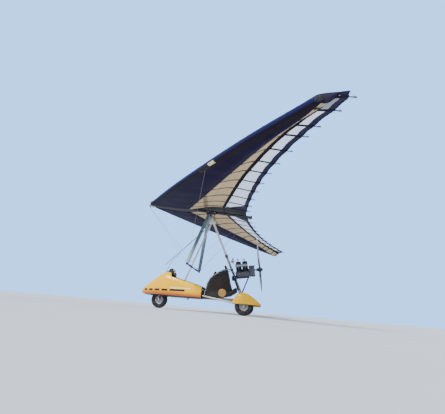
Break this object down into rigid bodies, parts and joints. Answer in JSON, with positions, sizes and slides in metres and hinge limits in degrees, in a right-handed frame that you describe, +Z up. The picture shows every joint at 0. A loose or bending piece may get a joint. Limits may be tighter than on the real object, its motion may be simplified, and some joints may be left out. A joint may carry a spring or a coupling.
{
  "type": "two-seat powered hang glider (weight-shift flex-wing trike)",
  "caption": "Two-seat powered hang glider: a navy and cream delta wing hung from the mast of a yellow three-wheeled pod with a rear pusher propeller.",
  "frame": {"origin": "on the floor under the middle of the whole length and span, wheels standing on Z = 0", "axes": "+X forward along the pod, +Y to port along the span, +Z up"},
  "size_m": [3.511, 10.1186, 3.2715],
  "materials": {
    "pod_yellow": "gloss",
    "black_plastic": "matte",
    "seat_cloth": "matte",
    "white_paint": "satin",
    "tan_paint": "satin",
    "alloy": "satin",
    "dark_alloy": "satin",
    "grey_blue_alloy": "satin",
    "engine_grey": "matte",
    "exhaust_brown": "matte",
    "tyre_black": "matte",
    "rim_grey": "satin",
    "blade_grey": "satin",
    "sail_cloth": "matte",
    "panel_cloth": "matte",
    "wire_steel": "satin"
  },
  "bodies": {
    "trike": {"base_beam": "tan_paint", "mast_lower": "tan_paint", "mast_upper": "white_paint", "front_strut": "white_paint", "front_stay": "alloy", "stay_brace": "alloy", "pod_shell": "pod_yellow", "instrument_cowl": "black_plastic", "rear_body": "black_plastic", "front_seat": "seat_cloth", "rear_seat": "seat_cloth", "seat_rail_left": "alloy", "seat_rail_right": "alloy", "engine_tray": "dark_alloy", "engine": "engine_grey", "intake": "alloy", "exhaust": "exhaust_brown", "steering_head": "dark_alloy", "axle_leg_left": "alloy", "axle_leg_right": "alloy", "drag_strut_left": "white_paint", "drag_strut_right": "white_paint", "suspension_left": "alloy", "suspension_right": "alloy", "spat_left": "pod_yellow", "spat_right": "pod_yellow"},
    "fork": {"fork": "dark_alloy"},
    "nose_wheel": {"nose_wheel_tyre": "tyre_black", "nose_wheel_rim": "rim_grey"},
    "wheel_left": {"wheel_left_tyre": "tyre_black", "wheel_left_rim": "rim_grey"},
    "wheel_right": {"wheel_right_tyre": "tyre_black", "wheel_right_rim": "rim_grey"},
    "propeller": {"propeller_hub": "dark_alloy", "propeller_blade_1": "blade_grey", "propeller_blade_2": "blade_grey", "propeller_blade_3": "blade_grey"},
    "hang_block": {"hang_block": "alloy"},
    "wing": {"keel_tube": "dark_alloy", "nose_plate": "alloy", "leading_edge_left": "alloy", "leading_edge_right": "alloy", "keel_bracket": "dark_alloy", "base_bar": "dark_alloy", "downtube_left": "grey_blue_alloy", "downtube_right": "grey_blue_alloy", "kingpost": "alloy", "stay_lower_front_left": "wire_steel", "stay_lower_front_right": "wire_steel", "stay_lower_side_left": "wire_steel", "stay_lower_side_right": "wire_steel", "stay_lower_rear_left": "wire_steel", "stay_lower_rear_right": "wire_steel", "stay_upper_front": "wire_steel", "stay_upper_rear": "wire_steel", "stay_upper_left": "wire_steel", "stay_upper_right": "wire_steel", "sail_keel_panel": "panel_cloth", "sail_left": "sail_cloth", "sail_right": "sail_cloth"}
  },
  "joints": [
    {"name": "fork_steer", "type": "hinge", "parent": "trike", "child": "fork", "pos_m": [1.2218, 0, 0.178], "axis": [-0.2588, 0, 0.9659], "range_deg": [-25, 25]},
    {"name": "nose_wheel_spin", "type": "hinge", "parent": "fork", "child": "nose_wheel", "pos_m": [1.2368, 0, 0.178], "axis": [0, 1, 0], "continuous": true},
    {"name": "wheel_left_spin", "type": "hinge", "parent": "trike", "child": "wheel_left", "pos_m": [-0.6382, 0.81, 0.178], "axis": [0, 1, 0], "continuous": true},
    {"name": "wheel_right_spin", "type": "hinge", "parent": "trike", "child": "wheel_right", "pos_m": [-0.6382, -0.81, 0.178], "axis": [0, 1, 0], "continuous": true},
    {"name": "propeller_spin", "type": "hinge", "parent": "trike", "child": "propeller", "pos_m": [-0.90877, 0, 0.99018], "axis": [0.9877, 0, -0.1564], "continuous": true},
    {"name": "wing_pitch", "type": "hinge", "parent": "trike", "child": "hang_block", "pos_m": [0.2388, 0, 2.046], "axis": [0, 1, 0], "range_deg": [-1.2, 14]},
    {"name": "wing_roll", "type": "hinge", "parent": "hang_block", "child": "wing", "pos_m": [0.2343, 0, 2.10583], "axis": [0.9972, 0, 0.075], "range_deg": [-20, 20]}
  ]
}
